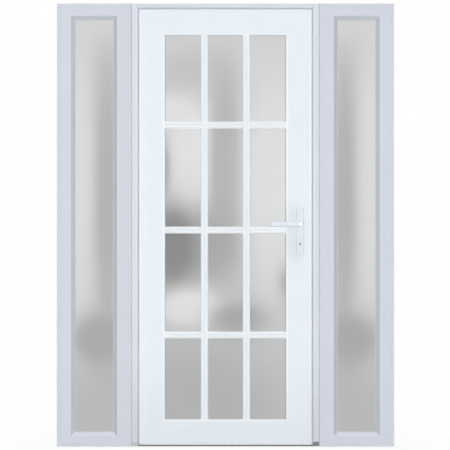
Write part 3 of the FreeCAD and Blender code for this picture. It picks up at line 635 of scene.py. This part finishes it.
screw_pattern = cross_head_screw()
screw_nickel = brushed_metal("screw_nickel", shade(176, 178, 182), shade(214, 216, 220), (1, 1, 1))
keep_heights = (0.330, 0.985, 1.6815)
keep_screws = [(0.409, lock_line_y, height + step) for height in keep_heights for step in (-0.052, 0.052)]
drive_screws("keep_screws", keep_screws, (-1, 0, 0), "frame", screw_nickel)
edge_screws = [(leaf_edge_x, lock_line_y, height) for height in (0.095, 0.43, 0.80, 1.13, 1.50, 1.92)]
drive_screws("edge_plate_screws", edge_screws, (1, 0, 0), "leaf", screw_nickel)


# Handle set: long back plates and flat levers, cast and coated in gloss white. The coating has a
# faint orange peel, and hands have dulled the lever a little.
def coated_metal(name, colour):
    """Gloss coating on cast metal, a little uneven and dulled in patches."""
    material, place = new_finish(name)
    peel = grain(place, 520, (1, 1, 1), 2.0, 0.5)
    handling = grain(place, 26, (1, 1, 1), 4.0, 0.6)
    tone = between(ease(handling, 0.35, 0.7), colour, dimmed(colour, 0.965))
    surface(place, peel, 0.00005, Base_Color=tone, Roughness=0.26 + 0.16 * handling,
            Specular_IOR_Level=0.4, Coat_Weight=0.5, Coat_Roughness=0.1)
    return material


white_coating = coated_metal("coated_white", shade(225, 232, 238))
softened_copy("outer_back_plate", "outer_plate", "leaf", white_coating, 0.0011)
softened_copy("inner_back_plate", "inner_plate", "leaf", white_coating, 0.0011)
plate_screws = [(handle_x, 0.0590, height) for height in (0.891, 1.084)]
drive_screws("inner_plate_screws", plate_screws, (0, 1, 0), "leaf", white_coating)
spindle_z = 1.021
leaf_middle_y = 0.0075


def cast_lever():
    """The outer lever: a flat, tapered grip with a round head, on a neck that flares into it."""
    spot = Vector((handle_x, -0.0385, spindle_z))
    bpy.ops.object.select_all(action="DESELECT")
    bpy.ops.mesh.primitive_circle_add(vertices=32, radius=0.0104, fill_type="NGON", location=spot,
                                      rotation=(math.pi / 2, 0, 0))
    neck = begin_piece("lever_neck")
    for step, flare in ((0.0180, 1.0), (0.0140, 1.0), (0.0055, 1.03), (0.0035, 1.06), (0.0025, 1.09)):
        spot = spot - Vector((0, step, 0))
        bpy.ops.mesh.extrude_region_move(TRANSFORM_OT_translate={"value": (0, -step, 0)})
        bpy.ops.transform.resize(value=(flare, 1, flare), center_override=spot)
    bpy.ops.object.mode_set(mode="OBJECT")

    # The grip is drawn out from its head end, ring by ring: place along X, share of depth and height.
    rings = [(0.3540, 0.60, 0.33), (0.3525, 0.84, 0.58), (0.3499, 0.95, 0.80), (0.3463, 1.00, 0.95),
             (0.3420, 1.00, 1.00), (0.3200, 1.00, 0.985), (0.2950, 0.99, 0.955), (0.2700, 0.98, 0.93),
             (0.2400, 0.97, 0.905), (0.2137, 0.96, 0.885), (0.2093, 0.95, 0.83), (0.2068, 0.90, 0.70),
             (0.2055, 0.78, 0.52), (0.2051, 0.60, 0.34)]
    x, depth, height = rings[0]
    spot = Vector((x, -0.0864, spindle_z))
    bpy.ops.object.select_all(action="DESELECT")
    bpy.ops.mesh.primitive_plane_add(size=1, location=spot, rotation=(0, -math.pi / 2, 0))
    grip = begin_piece("lever_grip")
    bpy.ops.transform.resize(value=(1, 0.0118, 0.0248), center_override=spot)
    bpy.ops.mesh.bevel(offset=0.0034, segments=4, affect="VERTICES")
    bpy.ops.transform.resize(value=(1, depth, height), center_override=spot)
    for next_x, next_depth, next_height in rings[1:]:
        bpy.ops.mesh.extrude_region_move(TRANSFORM_OT_translate={"value": (next_x - spot.x, 0, 0)})
        spot = Vector((next_x, spot.y, spot.z))
        bpy.ops.transform.resize(value=(1, next_depth / depth, next_height / height), center_override=spot)
        depth, height = next_depth, next_height
    bpy.ops.object.mode_set(mode="OBJECT")
    for piece in (grip, neck):
        bpy.context.view_layer.objects.active = piece
        smoothing = piece.modifiers.new("smoothing", "SUBSURF")
        smoothing.levels = 1
        bpy.ops.object.modifier_apply(modifier=smoothing.name)
    bpy.ops.object.select_all(action="DESELECT")
    neck.select_set(True)
    grip.select_set(True)
    bpy.context.view_layer.objects.active = grip
    bpy.ops.object.join()
    grip.name = "street_lever"
    return grip


def lever_cap():
    """The polished, slightly domed disc that closes the outer lever's head over the spindle."""
    middle = Vector((handle_x, -0.0920, spindle_z))
    bpy.ops.object.select_all(action="DESELECT")
    bpy.ops.mesh.primitive_circle_add(vertices=32, radius=0.0066, fill_type="NGON", location=middle,
                                      rotation=(math.pi / 2, 0, 0))
    cap = begin_piece("street_lever_cap")
    for rise, share in ((0.0005, 1.0), (0.0003, 0.90), (0.0003, 0.68), (0.0002, 0.50), (0.0001, 0.30)):
        middle = middle - Vector((0, rise, 0))
        bpy.ops.mesh.extrude_region_move(TRANSFORM_OT_translate={"value": (0, -rise, 0)})
        bpy.ops.transform.resize(value=(share, 1, share), center_override=middle)
    bpy.ops.object.mode_set(mode="OBJECT")
    return cap


def mirrored_copy(piece, name):
    """The same piece on the room side, turned over about the middle of the leaf."""
    twin = piece.copy()
    twin.data = piece.data.copy()
    twin.name = name
    bpy.context.collection.objects.link(twin)
    reopen(twin)
    bpy.ops.mesh.select_all(action="SELECT")
    bpy.ops.transform.resize(value=(1, -1, 1), center_override=(0, leaf_middle_y, 0))
    bpy.ops.object.mode_set(mode="OBJECT")
    return twin


cap_chrome = brushed_metal("cap_polished", shade(238, 243, 248), shade(248, 251, 253), (1, 1, 1))
street_lever = cast_lever()
street_cap = lever_cap()
room_lever = mirrored_copy(street_lever, "room_lever")
room_cap = mirrored_copy(street_cap, "room_lever_cap")
for piece, finish in ((street_lever, white_coating), (room_lever, white_coating),
                      (street_cap, cap_chrome), (room_cap, cap_chrome)):
    reopen(piece)
    end_piece(piece, "handle", finish, 45)
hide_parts("outer_lever")
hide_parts("inner_lever")


# Hinges: three on the rear face, each with a half on the frame, a half on the leaf and a pin with
# capped ends. They are cast and coated to match the handles, and screwed on through their plates.
softened_copy("hinge_frame_halves", "hinge_frame_leaves", "frame", white_coating, 0.0008, 2)
softened_copy("hinge_leaf_halves", "hinge_door_leaves", "leaf", white_coating, 0.0008, 2)
softened_copy("hinge_pins", "hinge_capped_pins", "frame", white_coating, 0.0008, 2)
hinge_heights = (0.231, 1.00575, 1.7805)
screw_steps = (-0.036, 0, 0.036)
frame_screws = [(-0.441, 0.0385, height + step) for height in hinge_heights for step in screw_steps]
drive_screws("hinge_frame_screws", frame_screws, (0, 1, 0), "frame", screw_nickel)
leaf_screws = [(-0.385, 0.0535, height + step) for height in hinge_heights for step in screw_steps]
drive_screws("hinge_leaf_screws", leaf_screws, (0, 1, 0), "leaf", screw_nickel)
bpy.data.objects.remove(screw_pattern)


# Setting: a pale floor that keeps the unit's soft shadow, and a white surround. Even lamps stand
# in front, above, at the sides and behind. A long lens is held level at the middle of the unit.
def seen_white(place):
    """1 for what the camera sees, plainly or in gloss, and 0 for light that falls on the unit."""
    path = place.node("ShaderNodeLightPath")
    seen = path + path.output("Is Glossy Ray") + path.output("Is Transmission Ray")
    return seen.sums("MINIMUM", seen, 1.0)


def plain_floor():
    """A matt floor whose shadow shows near the unit and fades into the white surround."""
    material, place = new_finish("studio_floor")
    fleck = grain(place, 30, (1, 1, 1), 3.0)
    tone = between(fleck, (0.50, 0.50, 0.50, 1), (0.54, 0.54, 0.54, 1))
    x, y, z = axes_of(place)
    matt = place.node("ShaderNodeBsdfDiffuse", inputs={"Color": tone})
    glow = place.node("ShaderNodeEmission", inputs={"Color": (1, 1, 1, 1), "Strength": 1.0})
    share = seen_white(place) * ease(x ** 2.0 + y ** 2.0, 0.4, 1.5, 0.94, 1.0)
    mixed = place.node("ShaderNodeMixShader", inputs={0: share, 1: matt, 2: glow})
    place.node("ShaderNodeOutputMaterial", inputs={"Surface": mixed})
    return material


bpy.ops.mesh.primitive_plane_add(size=60, location=(0, 0, -0.0005))
floor = bpy.context.object
floor.name = "studio_floor"
floor.data.materials.append(plain_floor())


def light_panel(name, spot, aim, width, height, power):
    """A soft rectangular lamp that the camera doesn't see."""
    bpy.ops.object.light_add(type="AREA", location=spot)
    lamp = bpy.context.object
    lamp.name = name
    lamp.data.shape = "RECTANGLE"
    lamp.data.size = width
    lamp.data.size_y = height
    lamp.data.energy = power
    lamp.rotation_euler = (Vector(aim) - Vector(spot)).to_track_quat("-Z", "Y").to_euler()
    lamp.visible_camera = False
    return lamp


def soft_sun(name, spot, strength, spread):
    """Even light from one side, as from a wide lamp far off. Its spread is in degrees."""
    bpy.ops.object.light_add(type="SUN", location=spot)
    lamp = bpy.context.object
    lamp.name = name
    lamp.data.energy = strength
    lamp.data.angle = math.radians(spread)
    lamp.rotation_euler = (Vector((0, 0, 1.0)) - Vector(spot)).to_track_quat("-Z", "Y").to_euler()


soft_sun("top_light", (1.2, -6.4, 17.0), 0.73, 40)
# The front fill stands right behind the camera, so it is kept out of gloss.
front_fill = light_panel("front_fill", (0, -8.7, 1.02), (0, 0, 1.02), 0.7, 0.7, 321)
front_fill.visible_glossy = False
light_panel("right_panel", (6.2, -10.2, 1.6), (0, 0, 1.0), 5.0, 2.4, 212)
light_panel("left_panel", (-5.8, -10.3, 1.6), (0, 0, 1.0), 5.0, 2.4, 232)
light_panel("rear_panel", (-3.5, 11.0, 5.0), (0, 0, 1.0), 6.0, 5.0, 300)
light_panel("right_side_panel", (7.6, 5.6, 2.4), (0.774, 0, 1.0), 4.0, 3.4, 450)
light_panel("left_side_panel", (-7.6, 5.6, 2.4), (-0.774, 0, 1.0), 4.0, 3.4, 510)

world = bpy.data.worlds.new("studio_world")
bpy.context.scene.world = world
world.use_nodes = True
world.node_tree.nodes.clear()
sky = Signal(world.node_tree)
level = 0.10 + 0.90 * seen_white(sky)
surround = sky.node("ShaderNodeBackground", inputs={"Color": (1, 1, 1, 1), "Strength": level})
sky.node("ShaderNodeOutputWorld", inputs={"Surface": surround})

# The view is 450 pixels of 4.586 mm across, at the front face of the unit.
lens = 150.0
sensor = 36.0
view_width = 450 * 0.004586
front_face = -0.035
distance = view_width * lens / sensor
bpy.ops.object.camera_add(location=(-0.0021, front_face - distance, 1.0163), rotation=(math.pi / 2, 0, 0))
camera = bpy.context.object
camera.name = "level_camera"
camera.data.lens = lens
camera.data.sensor_width = sensor
camera.data.clip_end = 200
bpy.context.scene.camera = camera
bpy.context.scene.view_settings.view_transform = "Standard"
